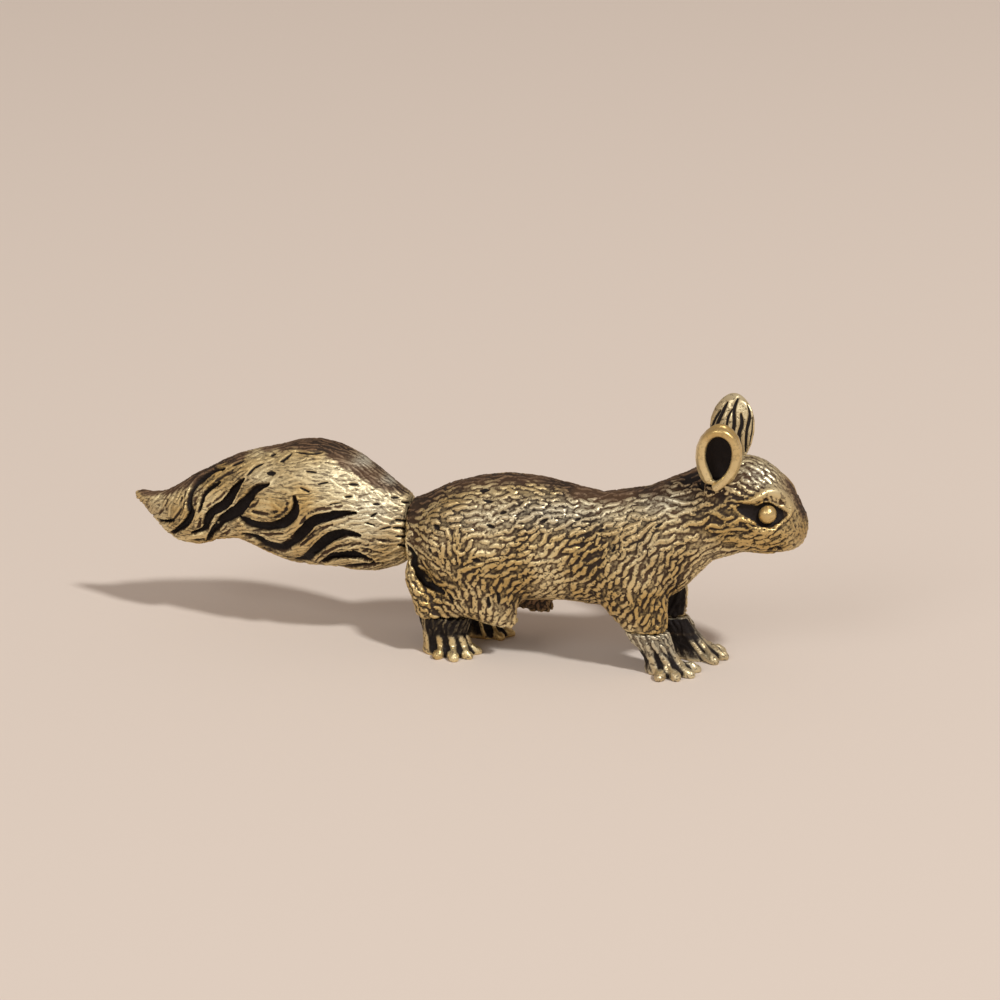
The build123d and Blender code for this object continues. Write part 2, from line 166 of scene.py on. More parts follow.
class Maker:
    """Adds nodes to one tree."""

    def __init__(self, tree):
        self.tree = tree

    def add(self, kind, settings=None, sockets=None):
        """One node: its settings first, then the values or wires of its sockets."""
        node = self.tree.nodes.new(kind)
        for name, value in (settings or {}).items():
            setattr(node, name, value)
        for name, value in (sockets or {}).items():
            if isinstance(value, Wire):
                self.tree.links.new(value.socket, node.inputs[name])
            else:
                node.inputs[name].default_value = value
        return Outputs(self, node)

    def ramped(self, value, low, high):
        """0 below low, 1 above high, and smooth between."""
        return self.add(
            "ShaderNodeMapRange", {"interpolation_type": "SMOOTHSTEP"},
            {"Value": value, "From Min": low, "From Max": high},
        )["Result"]

    def vector(self, operation, first, second):
        return self.add("ShaderNodeVectorMath", {"operation": operation}, {0: first, 1: second})[0]

    def scaled(self, vector, factor):
        return self.add(
            "ShaderNodeVectorMath", {"operation": "SCALE"}, {0: vector, "Scale": factor}
        )[0]

    def mixed(self, factor, first, second):
        """Mix of two colours."""
        return self.add(
            "ShaderNodeMix", {"data_type": "RGBA"}, {"Factor": factor, 6: first, 7: second}
        )[2]

    def noise(self, vector, scale, detail):
        return self.add("ShaderNodeTexNoise", None, {"Vector": vector, "Scale": scale, "Detail": detail})

    def bump(self, strength, distance, height):
        return self.add("ShaderNodeBump", None, {
            "Strength": strength, "Distance": distance, "Height": height,
        })[0]

    def surface(self, sockets):
        """A principled shader that ends the tree of a material."""
        shader = self.add("ShaderNodeBsdfPrincipled", None, sockets)[0]
        self.add("ShaderNodeOutputMaterial", None, {"Surface": shader})

    def named(self, label, kind="FLOAT"):
        """What the points hold under a name."""
        return self.add("GeometryNodeInputNamedAttribute", {"data_type": kind}, {"Name": label})[0]

    def stored(self, geometry, label, value):
        """The geometry with a number for each of its points, under a name."""
        return self.add(
            "GeometryNodeStoreNamedAttribute", {"data_type": "FLOAT", "domain": "POINT"},
            {"Geometry": geometry, "Name": label, "Value": value},
        )[0]

    def object_shape(self, socket):
        return self.add("GeometryNodeObjectInfo", None, {"Object": socket})["Geometry"]


def geometry_tree(name, inputs):
    """Geometry tree with named inputs; gives its maker and its inputs by name."""
    tree = bpy.data.node_groups.new(name, "GeometryNodeTree")
    tree.interface.new_socket("Geometry", in_out="INPUT", socket_type="NodeSocketGeometry")
    for label, kind, value in inputs:
        socket = tree.interface.new_socket(label, in_out="INPUT", socket_type=kind)
        if value is not None:
            socket.default_value = value
    tree.interface.new_socket("Geometry", in_out="OUTPUT", socket_type="NodeSocketGeometry")
    maker = Maker(tree)
    return maker, maker.add("NodeGroupInput")


def end_tree(maker, geometry):
    """Makes the geometry real, gives it the brass and ends the tree."""
    real = maker.add("GeometryNodeRealizeInstances", None, {0: geometry})[0]
    done = maker.add("GeometryNodeSetMaterial", None, {0: real, "Material": AGED_BRASS})[0]
    maker.add("NodeGroupOutput", None, {0: done})
    return maker.tree


def evaluated(piece):
    """A new mesh: the piece as its modifiers leave it."""
    graph = bpy.context.evaluated_depsgraph_get()
    graph.update()
    return bpy.data.meshes.new_from_object(piece.evaluated_get(graph))


def applied(piece, tree, values):
    """The mesh that a geometry tree makes of a piece, with the modifier gone."""
    modifier = piece.modifiers.new(tree.name, "NODES")
    modifier.node_group = tree
    for item in tree.interface.items_tree:
        if item.in_out == "INPUT" and item.name in values:
            modifier[item.identifier] = values[item.name]
    mesh = evaluated(piece)
    piece.modifiers.remove(modifier)
    return mesh


# Materials

GOLD = (0.62, 0.43, 0.165, 1.0)
PALE = (0.86, 0.72, 0.41, 1.0)
# Colour of a painted cool pale reflection
COOL_SHEEN = (0.64, 0.61, 0.48, 1.0)
# Colour of the painted dark reflection, and of some painted shade
REFLECTED_BROWN = (0.185, 0.102, 0.060, 1.0)
UMBER = (0.080, 0.042, 0.020, 1.0)
OXIDE = (0.028, 0.016, 0.009, 1.0)
BLACK = (0.008, 0.004, 0.003, 1.0)

# Scales of the noises: grains in a metre
CLOUD_SCALE = 170.0
GRAIN_SCALE = 1500.0
PIT_SCALE = 2900.0
FINE_SCALE = 5200.0


def material_maker(name):
    """A new material with an empty tree, and the tree's maker."""
    material = bpy.data.materials.new(name)
    material.use_nodes = True
    material.node_tree.nodes.clear()
    return material, Maker(material.node_tree)


def brass(name, grain_stretch, roughness, pitted):
    """Brass that is dark in its hollows and bright where it is rubbed, under painted shade,
    painted highlights and painted reflections.

    The skins carry these values at each point: rise, how far in millimetres it stands over the
    skin round it; hollow, 1 where black lies, as dark patina in the hollows and as painted shade;
    bare, how much of it was rubbed, with painted highlights added and painted shade taken off;
    brown, how much painted dark reflection and painted shade lie on it; and silver, how much
    painted cool pale reflection lies on it.
    """
    material, maker = material_maker(name)

    def attribute(label):
        return maker.add("ShaderNodeAttribute", {"attribute_name": label})["Fac"]

    place = maker.add("ShaderNodeTexCoord")["Object"]
    along = maker.vector("MULTIPLY", place, grain_stretch)
    grain = maker.noise(place, GRAIN_SCALE, 4.0)[0]
    cloud = maker.noise(place, CLOUD_SCALE, 3.0)[0]
    fine = maker.noise(place, FINE_SCALE, 2.0)[0]
    pits = maker.ramped(maker.noise(along, PIT_SCALE, 4.0)[0], 0.54, 0.64) * pitted
    bare, brown, silver = attribute("bare"), attribute("brown"), attribute("silver")
    hollow = attribute("hollow") + (grain - 0.5) * 0.35
    rise = attribute("rise") + (grain - 0.5) * 0.045 * pitted + (cloud - 0.5) * 0.05 * pitted
    # Rubbed wear on the raised places, also lightened by painted highlights and darkened by painted shade
    # through bare
    worn_and_lit = maker.ramped(rise + (bare - 0.5) * 0.10, -0.050, 0.040) * (1 - pits * 0.75)
    # Black of dark patina, and of painted shade
    black = maker.ramped(hollow, 0.35, 0.75)
    metal = maker.mixed(maker.ramped(cloud, 0.35, 0.65), GOLD, PALE)
    # A painted cool pale reflection, then a painted dark reflection and painted shade, over the metal
    metal = maker.mixed(silver, metal, COOL_SHEEN)
    metal = maker.mixed(brown * 0.92, metal, REFLECTED_BROWN)
    valley = maker.mixed(maker.ramped(cloud, 0.4, 0.6), OXIDE, UMBER)
    skin = maker.mixed(worn_and_lit, valley, metal)
    skin = maker.mixed(black, skin, BLACK)
    bright = worn_and_lit * (1 - black) * (1 - brown * 0.6)
    maker.surface({
        "Base Color": skin,
        "Metallic": bright * 0.70 + 0.12,
        "Roughness": (grain - 0.5) * 0.2 + 0.66 - bright * (0.66 - roughness),
        "Specular IOR Level": 0.30,
        "Normal": maker.bump(0.35, 0.00007, fine * 0.5 + grain - pits * 1.5),
    })
    return material


def turned_brass(name):
    """Plain brass with the fine rings that turning leaves round the x axis."""
    material, maker = material_maker(name)
    place = maker.add("ShaderNodeTexCoord")["Object"]
    across = maker.vector("MULTIPLY", place, (12.0, 1.0, 1.0))
    rings = maker.noise(across, 900.0, 3.0)[0]
    cloud = maker.noise(place, 400.0, 3.0)[0]
    maker.surface({
        "Base Color": maker.mixed(maker.ramped(cloud, 0.3, 0.7), GOLD, PALE),
        "Metallic": 0.85,
        "Roughness": rings * 0.25 + 0.22,
        "Normal": maker.bump(0.30, 0.00003, rings),
    })
    return material


AGED_BRASS = brass("aged brass", (1.0, 1.0, 1.0), 0.38, 1.0)
STREAKED_BRASS = brass("streaked brass", (0.30, 0.7, 1.5), 0.50, 1.0)
RUBBED_BRASS = brass("rubbed brass", (1.0, 1.0, 1.0), 0.30, 0.3)
TURNED_BRASS = turned_brass("turned brass")


# Skins

def store(mesh, values):
    """Writes arrays to a mesh by name, with a number or a vector for each of its points."""
    for label, value in values.items():
        vector = value.ndim == 2
        layer = mesh.attributes.new(label, "FLOAT_VECTOR" if vector else "FLOAT", "POINT")
        layer.data.foreach_set("vector" if vector else "value", value.ravel())


def stored(mesh, label):
    """The numbers that a mesh holds under a name."""
    value = np.empty(len(mesh.vertices))
    mesh.attributes[label].data.foreach_get("value", value)
    return value


class Skin:
    """An even mesh of quads over a piece, worked as arrays in millimetres."""

    def __init__(self, mesh):
        self.points = np.empty(len(mesh.vertices) * 3)
        mesh.vertices.foreach_get("co", self.points)
        self.points = self.points.reshape(-1, 3)
        self.edges = np.empty(len(mesh.edges) * 2, np.int64)
        mesh.edges.foreach_get("vertices", self.edges)
        self.edges = self.edges.reshape(-1, 2)
        self.faces = [tuple(face.vertices) for face in mesh.polygons]
        self.quads = np.array([f if len(f) == 4 else (*f, f[-1]) for f in self.faces])
        self.degree = np.bincount(self.edges.ravel(), minlength=len(self.points))
        self.values = {}

    def blurred(self, values, rounds):
        """Values averaged with their neighbours, as many times as rounds says."""
        a, b = self.edges.T
        values = np.array(values, float)
        flat = values.reshape(len(values), -1)
        for _ in range(rounds):
            total = np.stack([
                np.bincount(a, column[b], len(flat)) + np.bincount(b, column[a], len(flat))
                for column in flat.T
            ], 1)
            flat = (flat + total / self.degree[:, None]) / 2
        return flat.reshape(values.shape)

    def normals(self):
        """Outward direction at each point, from the faces round it."""
        corners = self.points[self.quads]
        facing = np.cross(corners[:, 2] - corners[:, 0], corners[:, 3] - corners[:, 1])
        total = np.stack([
            sum(np.bincount(self.quads[:, k], facing[:, axis], len(self.points)) for k in range(4))
            for axis in range(3)
        ], 1)
        return total / np.maximum(np.linalg.norm(total, axis=1, keepdims=True), 1e-12)

    def push(self, distance):
        """Moves each point out along the skin by its own distance."""
        self.points = self.points + self.normals() * np.asarray(distance)[:, None]

    def heights(self, rounds):
        """How far each point stands over its blurred surroundings."""
        away = self.points - self.blurred(self.points, rounds)
        return (away * self.blurred(self.normals(), 3)).sum(1)

    def struck(self, pixels, aside):
        """Where the sight through each pixel meets the skin, or else the plane y = aside."""
        tree = BVHTree.FromPolygons(self.points.tolist(), self.faces)
        hits = []
        for px, py in pixels:
            hit = tree.ray_cast(Vector(CAMERA_EYE), Vector(sight(px, py)))[0]
            hits.append(np.array(hit) if hit else seen(px, py, aside))
        return np.array(hits)

    def mesh(self, name, scale=1.0):
        """The skin as a mesh with its values as attributes."""
        made = bpy.data.meshes.new(name)
        made.from_pydata((self.points * scale).tolist(), [], self.faces)
        store(made, self.values)
        made.polygons.foreach_set("use_smooth", [True] * len(made.polygons))
        return made


def new_object(name, data):
    """An object of the scene that holds some data."""
    made = bpy.data.objects.new(name, data)
    bpy.context.scene.collection.objects.link(made)
    return made


def skin_of(node, voxel, smoothing, extras=(), keep=None):
    """Even smooth skin over a CAD node, with extra curves in millimetres joined in.

    keep gives how much each point keeps of its place when the rest is smoothed.
    """
    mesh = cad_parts[node].data.copy()
    work = bmesh.new()
    work.from_mesh(mesh)
    bmesh.ops.remove_doubles(work, verts=work.verts, dist=1e-6)
    bmesh.ops.scale(work, vec=(1 / MM, 1 / MM, 1 / MM), verts=work.verts)
    for curve in extras:
        tube = new_object("tube", curve)
        work.from_mesh(evaluated(tube))
        bpy.data.objects.remove(tube)
    work.to_mesh(mesh)
    work.free()
    piece = new_object("rough " + node, mesh)
    remesh = piece.modifiers.new("Remesh", "REMESH")
    remesh.mode = "VOXEL"
    remesh.voxel_size = voxel
    skin = Skin(evaluated(piece))
    bpy.data.objects.remove(piece)
    skin.points = skin.blurred(skin.points, 3)
    kept = skin.points
    skin.points = skin.blurred(kept, smoothing)
    if keep:
        share = keep(kept)[:, None]
        skin.points = kept * share + skin.points * (1 - share)
    return skin


def path_distance(points, path):
    """Distance of each point to a path of corners, and how far along the path it is, 0 to 1."""
    path = np.asarray(path, float)
    best = np.full(len(points), 1e9)
    along = np.zeros(len(points))
    for number, (start, end) in enumerate(zip(path[:-1], path[1:])):
        run = end - start
        share = np.clip(((points - start) @ run) / (run @ run), 0, 1)
        away = np.linalg.norm(points - start - share[:, None] * run, axis=1)
        closer = away < best
        best = np.where(closer, away, best)
        along = np.where(closer, (number + share) / (len(path) - 1), along)
    return best, along


# Fur

# A guide that misses the skin lies on the plane y = GUIDE_ASIDE. GUIDE_BLEND is the square of
# the distance over which guides run into each other.
GUIDE_ASIDE = -5.0
GUIDE_BLEND = 0.6
# Most places that are tried, least gap along a stroke by its reach, and swing of its direction
CANDIDATES = 40000
SEED_GAP = 0.8
LAY_SWING = 0.16
# Shares of a stroke's girth at which its flat top ends and its foot lies
FLAT_SHARE = 0.30
FOOT_SHARE = 1.15
# Points between two corners of a rounded path
PATH_STEPS = 6


def lay_of(skin, guides):
    """Direction of the fur at each point, from guides of pixel, angle in degrees."""
    spots = skin.struck([guide[:2] for guide in guides], GUIDE_ASIDE)[:, [0, 2]]
    turns = np.array([radians(2 * guide[2]) for guide in guides])
    flat = skin.points[:, [0, 2]]
    away = ((flat[:, None] - spots[None]) ** 2).sum(2) + GUIDE_BLEND
    weight = 1 / away ** 2
    turn = np.arctan2((weight * np.sin(turns)).sum(1), (weight * np.cos(turns)).sum(1)) / 2
    lay = np.stack([np.cos(turn), np.zeros(len(flat)), np.sin(turn)], 1)
    up = skin.normals()
    lay = lay - up * (lay * up).sum(1)[:, None]
    return lay / np.maximum(np.linalg.norm(lay, axis=1, keepdims=True), 1e-9)


def crowds(gap, lay, along, across):
    """Whether a stroke at a gap from another lies in the oval round it."""
    ahead = gap @ lay
    rest = gap @ gap - ahead * ahead
    return (ahead / along) ** 2 + rest / across ** 2 < 1


def sown(skin, furry, lay, reach, spread, seed):
    """Points of the skin, spread so that strokes of a reach and a spread don't crowd.

    furry, reach and spread hold one value for each point of the skin. Strokes start only
    where furry isn't 0.
    """
    random = np.random.default_rng(seed)
    up = skin.normals()
    order = random.permutation(np.flatnonzero(furry))[:CANDIDATES]
    cell = float(reach.max())
    taken = {}
    kept = []
    for number in order:
        point = skin.points[number]
        x, y, z = (point // cell).astype(int)
        around = (
            other for dx, dy, dz in product((-1, 0, 1), repeat=3)
            for other in taken.get((x + dx, y + dy, z + dz), ())
        )
        size = reach[number] * SEED_GAP, spread[number]
        if not any(crowds(skin.points[other] - point, lay[number], *size) for other in around):
            taken.setdefault((x, y, z), []).append(number)
            kept.append(number)
    kept = np.array(kept)
    made = bpy.data.meshes.new("seeds")
    made.from_pydata(skin.points[kept].tolist(), [], [])
    wobble = random.normal(0, 1, (len(kept), 5))
    swing = wobble[:, 3:4] * LAY_SWING
    store(made, {
        "lay": lay[kept] * np.cos(swing) + np.cross(up[kept], lay[kept]) * np.sin(swing),
        "up": up[kept],
        "reach": reach[kept] * (1 + 0.25 * wobble[:, 0]).clip(0.5, 1.6),
        "girth": spread[kept] * (0.50 + 0.08 * wobble[:, 1]).clip(0.30, 0.66),
        "bend": np.sign(wobble[:, 2]) * (0.5 + 0.5 * abs(wobble[:, 2])).clip(0, 1.6),
        "tone": (0.62 + 0.24 * wobble[:, 4]).clip(0.1, 1.0),
    })
    return new_object("seeds", made)


def stroke_tree():
    """A bent line at each seed, laid along the fur and drawn down on the skin."""
    maker, given = geometry_tree("fur strokes", [
        ("Skin", "NodeSocketObject", None),
        ("Points", "NodeSocketInt", 9),
        ("Bend", "NodeSocketFloat", None),
        ("Wander", "NodeSocketFloat", None),
        ("Taper", "NodeSocketFloat", 0.6),
    ])

    line = maker.add("GeometryNodeCurvePrimitiveLine", None, {
        "Start": (-0.5, 0.0, 0.0), "End": (0.5, 0.0, 0.0),
    })[0]
    line = maker.add("GeometryNodeResampleCurve", None, {"Curve": line, "Count": given["Points"]})[0]
    place = maker.add("GeometryNodeInputPosition")[0]
    along = maker.add("ShaderNodeSeparateXYZ", None, {0: place})["X"]
    sway = (along * 2 * pi).math("SINE") * given["Bend"]
    line = maker.add("GeometryNodeSetPosition", None, {
        "Geometry": line,
        "Offset": maker.add("ShaderNodeCombineXYZ", None, {"Y": sway})[0],
    })[0]
    taper = 1 - (along * 2).math("ABSOLUTE").math("POWER", 3.0) * given["Taper"]
    line = maker.stored(line, "taper", taper)
    points = maker.add("GeometryNodeMeshToPoints", None, {"Mesh": given["Geometry"]})[0]
    reach = maker.named("reach")
    turned = maker.add(
        "FunctionNodeAxesToRotation", {"primary_axis": "X", "secondary_axis": "Z"},
        {0: maker.named("lay", "FLOAT_VECTOR"), 1: maker.named("up", "FLOAT_VECTOR")},
    )[0]
    strokes = maker.add("GeometryNodeInstanceOnPoints", None, {
        "Points": points, "Instance": line, "Rotation": turned,
        "Scale": maker.add("ShaderNodeCombineXYZ", None, {
            "X": reach, "Y": reach * maker.named("bend"), "Z": reach,
        })[0],
    })[0]
    strokes = maker.add("GeometryNodeRealizeInstances", None, {0: strokes})[0]
    strokes = maker.add("GeometryNodeCurveToMesh", None, {"Curve": strokes})[0]
    strokes = maker.stored(strokes, "girth", maker.named("girth") * maker.named("taper"))
    drift = maker.vector("SUBTRACT", maker.noise(place, 0.8, 1.0)["Color"], (0.5, 0.5, 0.5))
    strokes = maker.add("GeometryNodeSetPosition", None, {
        "Geometry": strokes, "Offset": maker.scaled(drift, given["Wander"] * 2),
    })[0]
    skin = maker.object_shape(given["Skin"])
    snapped = maker.add("GeometryNodeProximity", {"target_element": "FACES"}, {0: skin})["Position"]
    strokes = maker.add("GeometryNodeSetPosition", None, {"Geometry": strokes, "Position": snapped})[0]
    return end_tree(maker, strokes)


def relief_tree():
    """How near each point of the skin is to the strokes: 1 on one, 0 past its girth."""
    maker, given = geometry_tree("relief", [
        ("Lines", "NodeSocketObject", None),
        ("Flat share", "NodeSocketFloat", None),
        ("Foot share", "NodeSocketFloat", None),
    ])
    lines = maker.object_shape(given["Lines"])
    away = maker.add("GeometryNodeProximity", {"target_element": "EDGES"}, {0: lines})["Distance"]
    nearest = maker.add("GeometryNodeSampleNearest", {"domain": "POINT"}, {0: lines})[0]

    def of_nearest(label):
        return maker.add("GeometryNodeSampleIndex", {"data_type": "FLOAT", "domain": "POINT"}, {
            "Geometry": lines, "Value": maker.named(label), "Index": nearest,
        })[0]

    relief = 1 - maker.ramped(away / of_nearest("girth"), given["Flat share"], given["Foot share"])
    skin = maker.stored(given["Geometry"], "relief", relief)
    return end_tree(maker, maker.stored(skin, "tone", of_nearest("tone")))


STROKES = stroke_tree()
RELIEF = relief_tree()


def furred(skin, furry, lay, reach, spread, seed, bend, wander):
    """Relief of chased strokes of fur over a skin, and the tone of the nearest stroke."""
    seeds = sown(skin, furry, lay, reach, spread, seed)
    ground = new_object("ground", skin.mesh("ground"))
    strokes = applied(seeds, STROKES, {"Skin": ground, "Bend": bend, "Wander": wander})
    strokes = new_object("strokes", strokes)
    mesh = applied(ground, RELIEF, {"Lines": strokes, "Flat share": FLAT_SHARE, "Foot share": FOOT_SHARE})
    for piece in (seeds, ground, strokes):
        bpy.data.objects.remove(piece)
    tone = stored(mesh, "tone")
    return stored(mesh, "relief") * (0.55 + 0.45 * tone), tone


def ramp(value, low, high):
    """0 below low, 1 above high, and smooth between."""
    share = np.clip((value - low) / (high - low), 0, 1)
    return share * share * (3 - 2 * share)


def smooth(path):
    """Round path through corners."""
    path = np.asarray(path, float)
    ends = np.vstack([2 * path[0] - path[1], path, 2 * path[-1] - path[-2]])
    share = np.linspace(0, 1, PATH_STEPS, endpoint=False)[:, None]
    made = []
    for a, b, c, d in zip(ends[:-3], ends[1:-2], ends[2:-1], ends[3:]):
        bow = (2 * a - 5 * b + 4 * c - d) * share ** 2 + (3 * b - a - 3 * c + d) * share ** 3
        made.append(b + ((c - a) * share + bow) / 2)
    return np.vstack([*made, path[-1:]])


def traced(pixels, rows, flat, foot, taper=0.75):
    """1 on lines drawn through pixels and 0 past their half widths, which narrow to the ends."""
    best = np.zeros(len(pixels))
    for half, *path in rows:
        path = smooth(path)
        reach = half * foot
        close = ((pixels > path.min(0) - reach) & (pixels < path.max(0) + reach)).all(1)
        away, along = path_distance(pixels[close], path)
        girth = half * (1 - taper * np.abs(2 * along - 1) ** 3)
        best[close] = np.maximum(best[close], 1 - ramp(away / girth, flat, foot))
    return best


def facing(skin):
    """1 where the skin, or its mirror image on the near half, is turned to the camera, else 0."""
    up = skin.blurred(skin.normals(), 3)
    up[:, 1] *= np.where(skin.points[:, 1] > 0, -1, 1)
    return ramp(up @ TOWARD_CAMERA, -0.05, 0.30)


def inner_side(skin):
    """1 where the skin of a leg is turned to the middle of the animal, else 0."""
    across = skin.blurred(skin.normals()[:, 1], 3)
    return ramp(-np.sign(skin.points[:, 1]) * across, 0.1, 0.6)


def zone(pixels, patches):
    """Soft patches: each is a pixel, its half width and half height, and a strength."""
    total = np.zeros(len(pixels))
    for px, py, wide, high, strength in patches:
        away = ((pixels - (px, py)) / (wide, high)) ** 2
        total = total + strength * np.exp(-away.sum(1))
    return total


def cast_grain(skin, seed, rounds):
    """Even random roughness of a casting, about 1 high, with grains as wide as its rounds."""
    rough = skin.blurred(np.random.default_rng(seed).normal(0, 1, len(skin.points)), rounds)
    return rough / rough.std()


def finish_skin(skin, name, node, material, slot, fine=6, **painted):
    """The skin as a finished piece that rides on the root and stands for its node.

    fine is how many rounds of blurring its rise is measured over.
    """
    count = len(skin.points)
    skin.points = skin.points.clip(*(np.array(CAD_BOX) / MM))
    skin.values = {"rise": skin.heights(fine)}
    for label in ("bare", "hollow", "brown", "silver"):
        skin.values[label] = np.broadcast_to(painted.get(label, 0.0), count).clip(0, 1).astype(float)
    piece = new_object(name, skin.mesh(name, MM))
    piece.data.materials.clear()
    piece.data.materials.append(material)
    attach(piece, "root")
    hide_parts(node)


# Body

# Lie of the fur: pixel and angle in degrees over the x axis
FUR_GUIDES = (
    (420, 510, 0), (430, 500, 5), (425, 530, -12), (425, 552, 5), (470, 478, 22), (510, 478, 8),
    (500, 500, 12), (470, 500, 12), (470, 525, 12), (500, 530, 14), (545, 495, 16), (520, 515, 22),
    (560, 520, 32), (540, 542, 36), (510, 555, 25), (560, 562, 42), (575, 582, 50), (520, 580, 35),
    (446, 556, 118), (452, 548, 105), (464, 550, 65), (478, 562, 25), (432, 572, -15), (442, 590, -15),
    (480, 600, 92), (466, 612, 95), (498, 604, 78), (508, 612, 62), (455, 600, 130), (425, 598, -40),
    (410, 580, -45), (560, 485, -8), (600, 495, 12), (590, 518, 35), (602, 532, 42), (616, 512, 34),
    (632, 520, 20), (642, 500, 12), (665, 505, 0), (682, 515, -2), (676, 535, 10), (692, 541, 12),
    (656, 536, 42), (640, 542, 58), (620, 546, 48), (605, 560, 50), (630, 562, 68), (650, 562, 58),
    (610, 590, 60), (630, 592, 70), (652, 592, 72), (662, 576, 62), (600, 582, 48), (672, 562, 72),
    (700, 558, 40), (690, 580, 60), (580, 540, 46), (576, 570, 55), (640, 485, 20), (672, 470, 25),
    (692, 484, 15), (702, 500, 0), (716, 516, -4), (735, 540, 12), (725, 505, 25), (760, 545, 8),
    (745, 490, -40), (762, 470, -45), (775, 490, -60), (790, 530, 20), (750, 535, 15), (705, 470, 22),
)

# Lines: half width, then the pixels they run through. The creases are behind the thigh, at the
# mouth and behind the ear.
BODY_CREASES = (
    (2.9, (403, 544), (411, 553), (416, 566), (424, 578), (433, 587), (443, 593)),
    (1.3, (768, 551), (774, 549), (780, 550)),
    (1.2, (697, 482), (706, 491), (714, 494)),
)
FLANK_CREASE = ((5.0, (588, 528), (582, 545), (577, 560), (581, 580)),)
SOCKET = ((12.6, (757, 514), (764, 515.5), (770, 515.5), (777, 515)),)
SOCKET_TAIL = ((8.0, (737, 508), (748, 511), (758, 515), (768, 517)),)
BROW = (
    (6.2, (738, 501), (749, 502), (759, 497), (768, 492), (778, 493), (787, 500), (790, 510), (787, 520)),
)
LOWER_LID = ((3.0, (746, 524), (756, 531), (768, 533), (779, 527)),)
BODY_PITS = (
    (3.0, (434, 525), (437, 529)), (2.4, (428, 549), (430, 552)), (2.6, (472, 560), (479, 562)),
    (2.6, (480, 490), (488, 489)), (2.4, (484, 500), (492, 501)), (2.6, (487, 525), (493, 527)),
    (2.0, (500, 513), (505, 511)), (2.4, (598, 531), (603, 529)), (2.2, (612, 551), (615, 546)),
    (2.4, (449, 595), (452, 603)), (2.4, (488, 598), (489, 608)), (2.4, (498, 594), (499, 604)),
    (2.0, (575, 520), (580, 518)), (2.0, (655, 527), (661, 524)), (2.0, (541, 521), (547, 519)),
)
# Lower edge of the painted dark reflection that tints the back
BROWN_REFLECTION_EDGE = (
    (408, 520), (420, 512), (432, 505), (450, 495), (470, 488), (490, 484), (510, 484), (530, 487),
    (550, 492), (570, 497), (590, 503), (610, 502), (630, 499), (650, 494), (670, 487), (690, 477),
    (705, 468), (745, 452), (760, 457), (772, 464), (783, 477), (790, 491), (796, 506), (802, 522),
)

# Patches: pixel, half width, half height and strength
FACE_PATCHES = ((800, 530, 13, 17, 1.0), (792, 492, 9, 17, 0.8), (772, 488, 12, 6, 0.9))
NECK_PATCHES = ((690, 515, 38, 34, 1.0), (725, 535, 34, 18, 0.8))
CROWN_PATCHES = ((756, 474, 26, 20, 1.0),)
HAUNCH_PATCHES = ((530, 575, 60, 26, 1.0), (455, 590, 45, 24, 0.8))
# Painted shade on the far thigh where it shows under the belly
FAR_THIGH_SHADE_PATCHES = ((536, 606, 28, 10, 1.0),)
# Painted shade: at the tail's root, in the flank's crease, on the neck behind the ear, between the
# forelegs, under the jaw, belly and haunch, and on the crown by the ear
SHADE_PATCHES = (
    (414, 530, 7, 34, 0.6), (588, 550, 13, 46, 0.40), (701, 480, 32, 13, 1.35),
    (729, 498, 14, 10, 0.7), (680, 590, 12, 30, 0.6), (735, 554, 50, 5, 0.4), (640, 480, 50, 8, 0.4),
    (440, 612, 34, 5, 0.35), (545, 607, 45, 6, 0.5), (748, 470, 7, 16, 0.4), (505, 545, 20, 10, 0.15),
    (700, 520, 22, 18, 0.3), (430, 585, 10, 14, 0.2), (645, 573, 26, 16, 0.22),
)
# Painted highlights on the shoulder, haunch, flank, neck, cheek and lower flank
HIGHLIGHT_PATCHES = (
    (622, 525, 24, 17, 0.85), (482, 516, 38, 20, 0.42), (500, 558, 26, 16, 0.40),
    (560, 512, 34, 14, 0.42), (680, 507, 24, 13, 0.20), (759, 541, 20, 8, 0.80),
    (560, 588, 26, 12, 0.40),
)
# Darker patches: painted shade on the neck behind the ear and under the belly, a painted dark reflection on
# the forehead, and a darker muzzle
DARKER_PATCHES = (
    (699, 480, 24, 12, 1.0), (791, 486, 11, 20, 0.75), (545, 607, 35, 7, 0.7),
    (801, 530, 12, 18, 0.33),
)
# Painted cool pale reflection on the flank, haunch, neck, crown and shoulder
COOL_SHEEN_PATCHES = (
    (560, 512, 70, 18, 0.75), (470, 520, 40, 16, 0.35), (665, 500, 34, 16, 0.7),
    (757, 475, 24, 16, 0.8), (640, 545, 30, 22, 0.25),
)

# Heights and depths
BROW_RISE = 0.36
LID_RISE = 0.14
CREASE_DEPTH = 0.42
FLANK_DEPTH = 0.14
SOCKET_DEPTH = 0.42
FUR_DEPTH = 0.20
PIT_DEPTH = 0.16
GRAIN_DEPTH = 0.014

# Reach and spread of the strokes, and what each part of the body adds to them
STROKE_REACH = 1.35
STROKE_SPREAD = 0.60
NECK_REACH, HAUNCH_REACH, CROWN_REACH, PATCH_REACH = 1.5, -0.30, 0.2, 0.12
NECK_SPREAD, CROWN_SPREAD, PATCH_SPREAD = 0.04, -0.06, 0.05

# The black between the legs, painted shade: half its width and its top; then the inner sides of the
# forelegs, also painted shade
BETWEEN_HALF = 1.7
BETWEEN_TOP = 9.6
FORELEG_TOP = 9.0
FORELEG_X = 12.0


